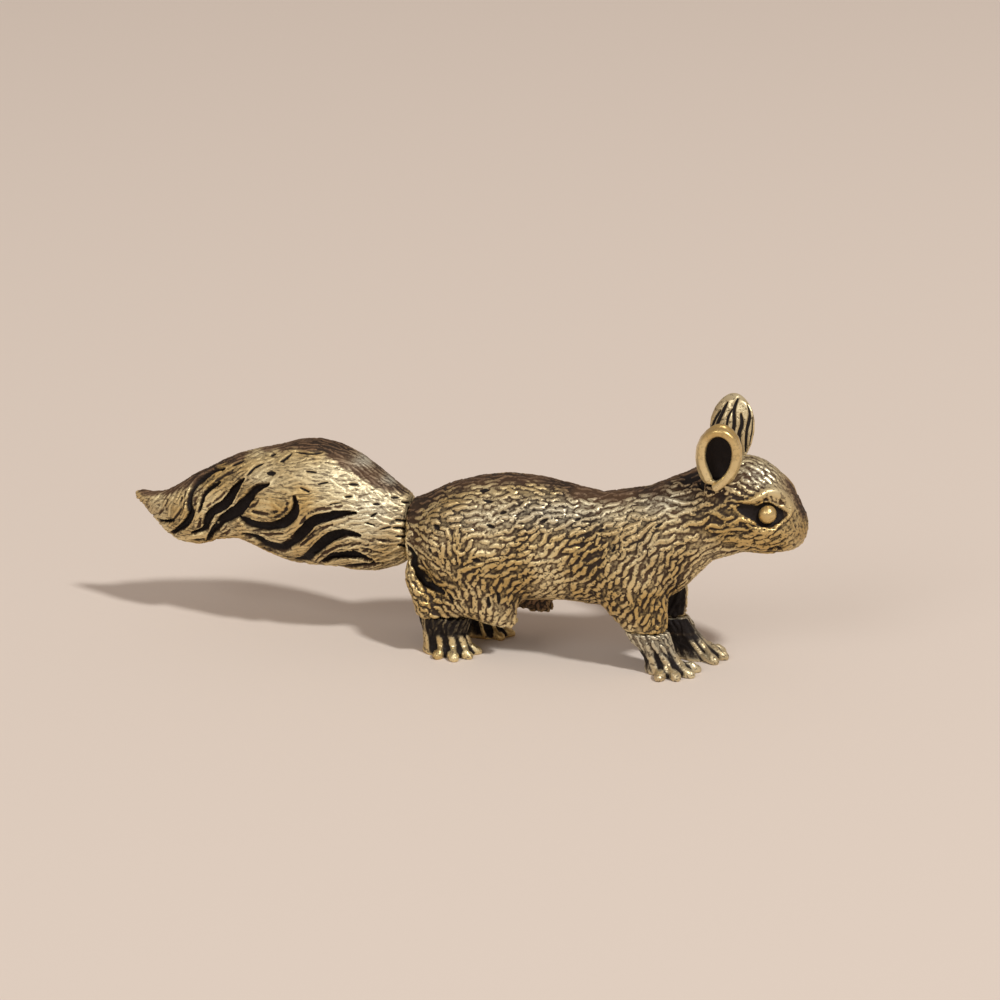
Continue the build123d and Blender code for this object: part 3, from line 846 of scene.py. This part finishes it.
def make_body():
    """Trunk and head: creases, eye sockets, chased fur, and the patina, painted shade, painted highlights
    and painted reflections by its patches.
    """
    skin = skin_of("body_casting", BODY_VOXEL, 22)
    pixels = pixels_of(near_half(skin.points))
    shown = facing(skin)
    crease = traced(pixels, BODY_CREASES, 0.2, 1.5, 0.6) * shown
    flank = traced(pixels, FLANK_CREASE, 0.1, 1.4, 0.5) * shown
    socket = shown * np.maximum(
        traced(pixels, SOCKET, 0.76, 1.04, 0.35), traced(pixels, SOCKET_TAIL, 0.45, 1.25, 0.85)
    )
    brow = traced(pixels, BROW, 0.1, 1.2, 0.85) * shown
    lid = traced(pixels, LOWER_LID, 0.1, 1.3) * shown
    skin.push(
        (BROW_RISE * brow + LID_RISE * lid) * (1 - socket)
        - CREASE_DEPTH * crease - FLANK_DEPTH * flank - SOCKET_DEPTH * socket
    )
    round_eye = np.maximum.reduce([socket, brow, lid])[:, None]
    skin.points = skin.points + (skin.blurred(skin.points, 4) - skin.points) * skin.blurred(round_eye, 3)
    points = skin.points
    lay = lay_of(skin, FUR_GUIDES)
    face = zone(pixels, FACE_PATCHES).clip(0, 1)
    neck = zone(pixels, NECK_PATCHES).clip(0, 1)
    crown = zone(pixels, CROWN_PATCHES).clip(0, 1)
    haunch = zone(pixels, HAUNCH_PATCHES).clip(0, 1)
    patch = cast_grain(skin, 3, 60).clip(-2, 2)
    bald = (brow > 0.35) | (lid > 0.4) | (crease > 0.5) | (socket > 0.1) | (face > 0.55)
    reach = (
        STROKE_REACH + NECK_REACH * neck + HAUNCH_REACH * haunch
        + CROWN_REACH * crown + PATCH_REACH * patch
    )
    spread = STROKE_SPREAD + NECK_SPREAD * neck + CROWN_SPREAD * crown + PATCH_SPREAD * patch
    relief, tone = furred(skin, ~bald, lay, reach, spread, seed=7, bend=0.08, wander=0.22)
    smooth_parts = np.maximum.reduce([ramp(brow, 0.2, 0.5), ramp(lid, 0.2, 0.7), socket, face])
    relief = relief * (1 - smooth_parts) + smooth_parts
    pits = traced(pixels, BODY_PITS, 0.3, 1.4, 0.4) * shown
    # Painted shade, black, between the legs and on the inner sides of the forelegs
    inside = BETWEEN_HALF - np.abs(points[:, 1])
    shade_between_legs = ramp(inside, 0, 1.2) * ramp(BETWEEN_TOP - points[:, 2], 0, 2.0)
    shade_inside_forelegs = inner_side(skin) * ramp(FORELEG_TOP - points[:, 2], 0, 1.5)
    shade_inside_forelegs = shade_inside_forelegs * ramp(points[:, 0] - FORELEG_X, 0, 2)
    # Painted shade on the far thigh's inner side, where it shows under the belly
    far_thigh_shade = zone(pixels_of(points), FAR_THIGH_SHADE_PATCHES) * ramp(points[:, 1], 0.3, 1.2)
    far_thigh_shade = far_thigh_shade * ramp(skin.normals() @ TOWARD_CAMERA, -0.1, 0.3)
    # A painted dark reflection over the upward faces of the back and head, with ragged edges
    edge_x, edge_y = np.array(BROWN_REFLECTION_EDGE).T
    over = np.interp(pixels[:, 0], edge_x, edge_y) - pixels[:, 1]
    brown = ramp(over + 2.5 * patch, -3, 7)
    depth = FUR_DEPTH - 0.04 * crown - 0.07 * brown
    grain = GRAIN_DEPTH * cast_grain(skin, 5, 1) * (1 + 1.5 * face) * (1 - 0.8 * brow)
    skin.push(-depth * (1 - relief) - PIT_DEPTH * pits - grain)
    # Painted shade: it makes bare lower and blackens the skin between the strokes
    dark = zone(pixels, SHADE_PATCHES)
    # Painted highlights, strongest on the raised strokes
    light = zone(pixels, HIGHLIGHT_PATCHES) * (0.2 + 0.9 * relief)
    darker_spots = zone(pixels, DARKER_PATCHES)
    # bare holds rubbed wear with painted highlights and painted shade, hollow holds dark patina with
    # painted shade, brown and silver hold painted reflections and painted shade
    finish_skin(
        skin, "body_fur", "body_casting", AGED_BRASS, "aged_brass",
        bare=(
            0.42 + 0.34 * tone * relief + 0.40 * smooth_parts + light
            - 0.50 * dark - 0.38 * brown - 0.38 * face
        ),
        hollow=np.maximum.reduce([
            crease * 0.95, socket * 1.1, pits * 0.9, shade_between_legs * 0.9, shade_inside_forelegs,
            0.8 * dark * (1 - 0.8 * relief), 0.5 * flank,
        ]),
        brown=brown + darker_spots + far_thigh_shade,
        silver=zone(pixels, COOL_SHEEN_PATCHES),
    )


# Tail

# Lines of the tail: the hollows between its locks, the lines on them, and short cuts
TAIL_HOLLOWS = (
    (5.6, (268, 484), (256, 489), (247, 499), (239, 509), (230, 516), (221, 523), (214, 531),
     (207, 543)),
    (4.4, (243, 479), (236, 488), (230, 498), (223, 506), (212, 512), (207, 521), (204, 530),
     (192, 534)),
    (4.2, (224, 468), (210, 472), (199, 481), (192, 492), (189, 503), (190, 514), (185, 524),
     (177, 531), (167, 536)),
    (2.2, (219, 482), (207, 490), (201, 501), (198, 512)),
    (2.0, (173, 521), (163, 522), (149, 518)),
    (5.2, (294, 497), (295, 509), (290, 519), (277, 526), (261, 527), (248, 523), (238, 517)),
    (5.4, (355, 513), (336, 515), (315, 521), (304, 531), (293, 542), (282, 548), (268, 546),
     (256, 538), (243, 534)),
    (5.6, (360, 537), (345, 534), (331, 537), (319, 547), (309, 557), (297, 564), (284, 562),
     (271, 554)),
    (4.0, (374, 562), (357, 556), (341, 554), (328, 560), (318, 566)),
    (2.2, (383, 563), (364, 566), (346, 567), (334, 568)),
    (2.6, (206, 539), (192, 543), (176, 541)),
    (3.0, (235, 541), (246, 545), (256, 551)),
)
TAIL_LINES = (
    (1.7, (240, 467), (224, 475), (212, 484)), (1.6, (214, 475), (203, 483), (196, 493), (194, 505)),
    (1.5, (226, 491), (216, 501), (206, 507)), (1.6, (249, 508), (239, 516), (230, 524), (220, 532)),
    (1.4, (181, 497), (179, 510), (172, 520)), (1.4, (185, 491), (183, 504), (180, 516)),
    (1.5, (167, 500), (163, 510), (154, 515)), (1.6, (332, 525), (318, 530), (309, 538), (300, 547)),
    (1.5, (342, 546), (328, 551), (316, 561)), (1.5, (282, 534), (268, 535), (256, 531), (246, 528)),
    (1.6, (342, 506), (322, 509), (307, 516), (300, 524)), (1.5, (287, 503), (284, 512), (274, 518)),
    (1.5, (276, 512), (264, 514), (252, 512)), (1.4, (258, 500), (250, 508), (242, 513)),
    (1.5, (368, 546), (352, 545), (338, 548)), (1.4, (381, 553), (366, 552), (352, 550)),
    (1.4, (200, 519), (198, 528), (190, 533)), (1.4, (230, 531), (222, 537), (216, 541)),
    (1.5, (222, 461), (208, 467), (196, 475), (187, 486)), (1.4, (390, 541), (376, 541), (362, 540)),
)
TAIL_MARKS = (
    (1.5, (296, 451), (310, 453), (322, 452)), (2.0, (291, 453), (284, 459), (280, 461)),
    (1.8, (263, 463), (254, 467), (247, 475)), (3.4, (267, 473), (274, 473)), (2.0, (270, 455), (275, 453)),
    (2.0, (350, 484), (358, 484)), (1.8, (374, 504), (380, 504)), (1.7, (371, 517), (377, 513)),
    (1.7, (392, 497), (399, 497)), (1.5, (402, 501), (410, 503)), (1.6, (345, 497), (352, 496)),
    (1.4, (330, 505), (341, 503)), (1.4, (306, 471), (316, 472)), (1.4, (318, 484), (328, 482)),
    (1.6, (396, 520), (408, 521)), (1.6, (394, 528), (409, 529)), (1.6, (396, 537), (409, 537)),
    (1.6, (398, 546), (408, 546)), (1.4, (360, 549), (372, 551)), (1.4, (380, 530), (391, 527)),
    (1.4, (232, 465), (243, 460)), (1.4, (300, 488), (309, 492)), (1.3, (365, 523), (375, 526)),
)
TAIL_BROWN_REFLECTION_EDGE = (
    (133, 488), (150, 496), (171, 496), (192, 483), (213, 470), (243, 457), (272, 450), (300, 448),
    (323, 453), (336, 462), (352, 472), (373, 486), (399, 493), (430, 499),
)
TAIL_GUIDES = (
    (400, 500, -8), (400, 530, -5), (400, 560, 20), (360, 470, -35), (350, 490, -10), (350, 520, 5),
    (340, 545, 30), (310, 530, 45), (300, 470, 5), (290, 550, 10), (270, 470, 20), (250, 465, 35),
    (262, 506, 10), (230, 490, 45), (210, 510, 60), (200, 480, 40), (180, 500, 70), (160, 500, 60),
    (145, 505, 50), (180, 540, 10), (230, 530, 35), (320, 445, 0), (390, 485, -40),
)

# Patches of the tail, its heights and depths, and its strokes. The tip keeps its shape behind TIP_X,
# and less of it over the next TIP_FADE.
TAIL_WORN_PATCHES = ((320, 485, 70, 26, 1.0),)
TAIL_WARM_PATCHES = ((268, 507, 18, 9, 1.0),)
# Painted grey highlights within the painted dark reflection on top of the tail
TAIL_GREY_HIGHLIGHTS = ((365, 460, 17, 9, 1.0), (392, 479, 14, 7, 0.9))
# Painted shade at the tail's root and along its lower edge
TAIL_SHADE_PATCHES = (
    (407, 545, 6, 26, 0.7), (409, 510, 4, 30, 0.5), (205, 545, 40, 6, 0.25),
    (345, 569, 45, 6, 0.7), (385, 565, 20, 6, 0.25),
)
# Painted cool pale reflection on the tail's root, upper side and middle
TAIL_COOL_SHEEN_PATCHES = ((375, 510, 40, 30, 0.65), (330, 475, 40, 16, 0.35), (255, 478, 24, 10, 0.3))
# Darker near the tip
TAIL_DARKER_PATCHES = ((150, 508, 22, 12, 0.45),)
SLOPE_RISE = 0.10
HOLLOW_DEPTH = 0.70
LINE_DEPTH = 0.16
MARK_DEPTH = 0.20
TAIL_FUR_DEPTH = 0.12
TAIL_GRAIN_DEPTH = 0.012
TAIL_REACH = 2.1
TAIL_SPREAD = 0.44
TIP_X = -34.0
TIP_FADE = 3.5


def make_tail():
    """Tail with deep S-shaped hollows between its locks, painted shade beside and below them, and a painted
    dark reflection on top.
    """
    skin = skin_of("tail_casting", TAIL_VOXEL, 26, keep=tip_keep)
    pixels = pixels_of(near_half(skin.points))
    shown = facing(skin)
    hollow = traced(pixels, TAIL_HOLLOWS, 0.40, 1.15) * shown
    slope = traced(pixels, TAIL_HOLLOWS, 0.5, 2.0, 0.5) * shown
    marks = traced(pixels, TAIL_MARKS, 0.3, 1.4, 0.5) * shown
    lines = traced(pixels, TAIL_LINES, 0.1, 1.8, 0.6) * shown
    shade = traced(pixels, TAIL_HOLLOWS, 0.45, 1.75) * shown
    skin.push(
        SLOPE_RISE * slope * (1 - hollow) - HOLLOW_DEPTH * hollow - LINE_DEPTH * lines * (1 - hollow)
    )
    skin.points = skin.blurred(skin.points, 1)
    lay = lay_of(skin, TAIL_GUIDES)
    worn_patch = zone(pixels, TAIL_WORN_PATCHES).clip(0, 1)
    reach = np.full(len(skin.points), TAIL_REACH)
    spread = TAIL_SPREAD - 0.06 * worn_patch
    relief, tone = furred(skin, hollow < 0.35, lay, reach, spread, seed=11, bend=0.04, wander=0.16)
    depth = TAIL_FUR_DEPTH - 0.06 * worn_patch
    grain = TAIL_GRAIN_DEPTH * cast_grain(skin, 6, 2)
    skin.push(-depth * (1 - relief) * (1 - hollow) - MARK_DEPTH * marks - grain)
    patch = cast_grain(skin, 4, 60).clip(-2, 2)
    # A painted dark reflection over the top of the tail
    edge_x, edge_y = np.array(TAIL_BROWN_REFLECTION_EDGE).T
    over = np.interp(pixels[:, 0], edge_x, edge_y) - pixels[:, 1]
    brown = ramp(over + 2.0 * patch, -2, 4)
    grey_highlight = zone(pixels, TAIL_GREY_HIGHLIGHTS).clip(0, 1)
    # Painted shade at the root and along the lower edge
    dark = zone(pixels, TAIL_SHADE_PATCHES)
    # bare and hollow mix rubbed wear and dark patina with painted shade; brown and silver hold painted
    # reflections
    finish_skin(
        skin, "tail_fur", "tail_casting", STREAKED_BRASS, "aged_brass",
        bare=(
            0.62 + 0.32 * tone * relief + 0.08 * patch + 0.3 * zone(pixels, TAIL_WARM_PATCHES)
            - 0.45 * dark - 0.5 * brown * (1 - grey_highlight) - 0.55 * shade - 0.35 * lines
        ),
        hollow=np.maximum.reduce([hollow * 1.1, marks * 0.9, 0.45 * dark, 0.45 * lines]),
        brown=brown * (1 - 0.75 * grey_highlight) + zone(pixels, TAIL_DARKER_PATCHES),
        silver=zone(pixels, TAIL_COOL_SHEEN_PATCHES) + grey_highlight,
    )


def tip_keep(points):
    """How much of its first shape the tail keeps when smoothed: all at the tip."""
    return 1 - ramp(points[:, 0], TIP_X, TIP_X + TIP_FADE)


# Paws, ears and eyes

FOOT_GUIDES = (
    (425, 620, 100), (440, 625, 70), (460, 635, 60), (430, 648, 80), (455, 655, 60), (470, 650, 50),
    (630, 640, 128), (645, 655, 115), (660, 655, 118), (680, 655, 140), (650, 672, 95), (670, 670, 115),
    (690, 668, 135), (690, 620, 120), (700, 638, 135), (712, 655, 130), (725, 655, 140),
)
FOOT_RIDGES = {
    "hind_foot_right": (
        (3.8, (424, 612), (424, 632), (427, 654)), (4.4, (436, 628), (439, 642), (441, 657)),
        (4.8, (447, 628), (452, 642), (455, 660)), (4.6, (458, 630), (464, 643), (468, 657)),
        (3.6, (468, 636), (474, 646), (478, 653)),
    ),
    "fore_foot_right": (
        (4.8, (640, 634), (649, 656), (657, 678)), (5.0, (650, 634), (663, 658), (674, 679)),
        (4.8, (659, 634), (676, 655), (688, 675)), (4.0, (667, 634), (685, 653), (697, 669)),
    ),
    "fore_foot_left": (
        (4.2, (678, 622), (693, 643), (707, 662)), (4.6, (684, 622), (701, 641), (715, 661)),
        (4.2, (690, 624), (709, 641), (723, 655)), (3.6, (695, 628), (716, 642), (729, 653)),
    ),
    "hind_foot_left": (
        (3.6, (492, 620), (496, 632), (499, 641)), (3.6, (500, 618), (507, 629), (512, 638)),
        (3.0, (480, 622), (483, 632), (486, 642)),
    ),
}

# Heights over the sole where the fur of the leg starts and where it is full, how far the top is
# drawn up into the leg, and heights and depths of the skin
FUR_FROM = 2.2
FUR_FULL = 3.2
COLLAR = 0.45
CUFF_RISE = 0.10
CLEFT_DEPTH = 0.16
FOOT_REACH = 1.5
FOOT_SPREAD = 0.50
FOOT_GRAIN_DEPTH = 0.010


def make_foot(node):
    """Paw with bright toes and dark clefts, painted shade over much of it, and a painted cool reflection.
    """
    skin = skin_of(node, FOOT_VOXEL, 8)
    pixels = pixels_of(skin.points)
    fore = node.startswith("fore")
    lay = lay_of(skin, FOOT_GUIDES)
    ridge = traced(pixels, FOOT_RIDGES[node], 0.1, 1.1, 0.3)
    swell = skin.heights(70)
    z = skin.points[:, 2].copy()
    top = ramp(z, FUR_FROM, FUR_FULL)
    skin.points[:, 2] += COLLAR * ramp(z, z.max() - 0.7, z.max() - 0.15)
    skin.push(CUFF_RISE * top - CLEFT_DEPTH * (1 - ridge) * ramp(z, 0.3, 1.2) * (1 - top))
    each = np.ones(len(z))
    relief = furred(
        skin, each, lay, FOOT_REACH * each, FOOT_SPREAD * each, seed=5, bend=0.05, wander=0.12
    )[0]
    toe = np.maximum(
        ramp(swell, -0.02, 0.10) * (1 - ramp(z, 0.9, 1.5)), ridge * (1 - ramp(z, 1.6, 2.5))
    )
    inner = inner_side(skin)
    if fore:
        leg = ramp(z, 1.6, 3.0) * (1 - inner)
        streak = np.maximum(relief * leg, 0.30 * ridge * (1 - inner))
        bare = 0.15 + 0.15 * leg - (0.15 if node == "fore_foot_left" else 0.0)
        clean = 0.70 * top
    else:
        leg = 0.25 * ramp(z, 1.0, 3.0)
        # A painted highlight down the lit outer edge of the shin
        shin_highlight = 0.60 * traced(pixels, FOOT_RIDGES[node][:1], 0.1, 0.9, 0.1)
        streak = np.maximum.reduce([relief * leg, 0.12 * ridge, shin_highlight])
        bare, clean = 0.15, 0.0
    grain = FOOT_GRAIN_DEPTH * cast_grain(skin, 8, 1)
    skin.push(-(0.07 + 0.08 * top) * (1 - relief) * (1 - toe) - grain)
    # The paw's black is partly dark patina and partly painted shade, with painted shade on the inner side
    # of the leg's top; silver is a painted cool reflection
    finish_skin(
        skin, node + "_skin", node, AGED_BRASS, "aged_brass",
        bare=bare + 0.75 * toe + 0.55 * streak,
        hollow=np.maximum(0.80 - 0.85 * toe - 0.75 * streak - clean, inner * top),
        silver=0.75 - 0.35 * toe if fore else 0.20 * (1 - toe),
    )


# Rim of the near ear as seen, and the hollows of the far ear's back
EAR_RIM = (
    (709, 480), (704, 470), (701, 458), (702, 446), (707, 437), (715, 432), (724, 433), (732, 439),
    (736, 448), (736, 459), (732, 472), (724, 482), (714, 489),
)
EAR_FURROWS = (
    (2.4, (727, 402), (722, 412), (717, 423), (713, 434)),
    (1.6, (732, 409), (728, 417), (726, 427), (722, 436)),
    (2.5, (738, 398), (734, 409), (734, 424), (732, 438), (735, 452)),
    (2.6, (741, 414), (742, 424), (739, 436), (741, 452)),
    (2.2, (748, 402), (750, 416), (747, 432), (746, 452)),
    (1.8, (720, 410), (714, 420), (710, 432)),
    (1.4, (753, 418), (753, 430), (750, 446)),
)
# Difference in x between the two ears, and the sizes of their rims
EAR_SHIFT = 0.74
EAR_RIM_RADIUS = 0.46
FAR_RIM_SHARE = 0.75
FAR_RIM_OUT = 0.25
FURROW_DEPTH = 0.20
# The rim's plane: y where it crosses RIM_Z, and how much y falls for a millimetre of height
RIM_Y = -4.30
RIM_Z = 20.5
RIM_LEAN = 0.20
RIM_FIRST_Y = -4.5


def make_ear(node, side):
    """Cup of an ear with its rolled rim; side is -1 for the animal's right, 1 for its left."""
    skin = skin_of(node, EAR_VOXEL, 10 if side < 0 else 22, [rim_tube(side)])
    on_far = skin.points + ((EAR_SHIFT, 0, 0) if side < 0 else (0, 0, 0))
    on_far = on_far * (1, side, 1)
    outward = skin.blurred(side * skin.normals()[:, 1], 4)
    back = 1 - ramp(outward, -0.2, 0.1)
    furrow = traced(pixels_of(on_far), EAR_FURROWS, 0.3, 1.3, 0.5) * back
    skin.push(-FURROW_DEPTH * furrow)
    rim = rim_share(skin, side)
    cup = encloses(rim_points(side), skin.points) * ramp(outward, -0.15, 0.15) * (1 - rim)
    # The ear's back gets a painted cool pale reflection
    finish_skin(
        skin, node + "_skin", node, RUBBED_BRASS if side < 0 else AGED_BRASS, "aged_brass",
        bare=0.70 + 0.3 * rim, hollow=np.maximum(furrow, skin.blurred(cup, 2) * 1.3),
        silver=0.3 * back,
    )


def encloses(ring, points):
    """1 for the points that a ring goes round, as seen along y."""
    ring = np.asarray(ring)[:, [0, 2]]
    x, z = points[:, 0], points[:, 2]
    within = np.zeros(len(points), bool)
    for (x0, z0), (x1, z1) in zip(ring, np.roll(ring, -1, 0)):
        crosses = (z0 > z) != (z1 > z)
        within ^= crosses & (x < x0 + (x1 - x0) * (z - z0) / (z1 - z0 + 1e-12))
    return within.astype(float)


def rim_points(side):
    """Middle line of an ear's rim: on the near ear as seen, on the other mirrored."""
    made = []
    for px, py in EAR_RIM:
        z = seen(px, py, RIM_FIRST_Y)[2]
        x, y, z = seen(px, py, RIM_Y - RIM_LEAN * (z - RIM_Z))
        made.append((x, y, z) if side < 0 else (x - EAR_SHIFT, FAR_RIM_OUT - y, z))
    return made


def rim_tube(side):
    """The ear's rim as a closed tube, in millimetres."""
    curve = bpy.data.curves.new("rim", "CURVE")
    curve.dimensions = "3D"
    curve.bevel_depth = EAR_RIM_RADIUS if side < 0 else FAR_RIM_SHARE * EAR_RIM_RADIUS
    curve.bevel_resolution = 4
    curve.use_fill_caps = True
    points = rim_points(side)
    spline = curve.splines.new("NURBS")
    spline.points.add(len(points) - 1)
    for point, place in zip(spline.points, points):
        point.co = (*place, 1.0)
    spline.use_endpoint_u = True
    spline.order_u = 3
    spline.resolution_u = 6
    return curve


def rim_share(skin, side):
    """1 on the rim of an ear and 0 away from it."""
    away = path_distance(skin.points, rim_points(side))[0]
    return 1 - ramp(away, EAR_RIM_RADIUS * 1.05, EAR_RIM_RADIUS * 1.5)


# From the eye's CAD bead to the place where the photograph shows it
EYE_NUDGE = (-0.22, 0.0, -0.22)


def make_eye(node):
    """Smooth bead of an eye."""
    skin = skin_of(node, EAR_VOXEL, 4)
    skin.points = skin.points + EYE_NUDGE
    finish_skin(skin, node + "_skin", node, RUBBED_BRASS, "rubbed_brass", fine=40, bare=1.0)


# Stage

FLOOR_REACH = 1.5
FLOOR_COLOUR = (0.740, 0.655, 0.578, 1.0)
WORLD_COLOUR = (1.0, 0.84, 0.74, 1.0)
WORLD_STRENGTH = 0.39


def make_stage():
    """Floor, light and camera."""
    scene = bpy.context.scene
    floor_mesh = bpy.data.meshes.new("floor")
    corners = [(x * FLOOR_REACH, y * FLOOR_REACH, 0) for x, y in ((-1, -1), (1, -1), (1, 1), (-1, 1))]
    floor_mesh.from_pydata(corners, [], [(0, 1, 2, 3)])
    floor = new_object("floor", floor_mesh)
    material, maker = material_maker("pale floor")
    maker.surface({"Base Color": FLOOR_COLOUR, "Roughness": 0.7, "Specular IOR Level": 0.1})
    floor.data.materials.append(material)

    world = bpy.data.worlds.new("studio")
    world.use_nodes = True
    world.node_tree.nodes.clear()
    maker = Maker(world.node_tree)
    back = maker.add("ShaderNodeBackground", None, {
        "Color": WORLD_COLOUR, "Strength": WORLD_STRENGTH,
    })[0]
    maker.add("ShaderNodeOutputWorld", None, {"Surface": back})
    scene.world = world

    def lamp(name, azimuth, elevation, distance, size, power, colour):
        data = bpy.data.lights.new(name, "AREA")
        data.size = size
        data.energy = power
        data.color = colour
        made = new_object(name, data)
        a, e = radians(azimuth), radians(elevation)
        made.location = Vector((sin(a) * cos(e), -cos(a) * cos(e), sin(e))) * distance
        made.rotation_euler = made.location.to_track_quat("Z", "Y").to_euler()

    lamp(
        "key", azimuth=58.0, elevation=50.0, distance=2.0, size=0.18, power=25.0,
        colour=(1.0, 0.99, 0.98),
    )
    lamp(
        "fill", azimuth=-20.0, elevation=35.0, distance=2.0, size=1.0, power=8.0,
        colour=(0.97, 0.98, 1.0),
    )

    camera = bpy.data.cameras.new("camera")
    camera.sensor_width = SENSOR_WIDTH
    camera.lens = CAMERA_FOCUS / IMAGE_SIDE * SENSOR_WIDTH
    camera.clip_start = 0.01
    made = new_object("camera", camera)
    made.location = Vector(CAMERA_EYE * MM)
    made.rotation_euler = Vector(TOWARD_CAMERA).to_track_quat("Z", "Y").to_euler()
    scene.camera = made
    scene.view_settings.view_transform = "Standard"


make_body()
make_tail()
for name in ("hind_foot_right", "hind_foot_left", "fore_foot_right", "fore_foot_left"):
    make_foot(name)
for name, side in (("ear_right", -1), ("ear_left", 1)):
    make_ear(name, side)
for name in ("eye_right", "eye_left"):
    make_eye(name)
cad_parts["tail_dowel"].material_slots[0].material = TURNED_BRASS
make_stage()
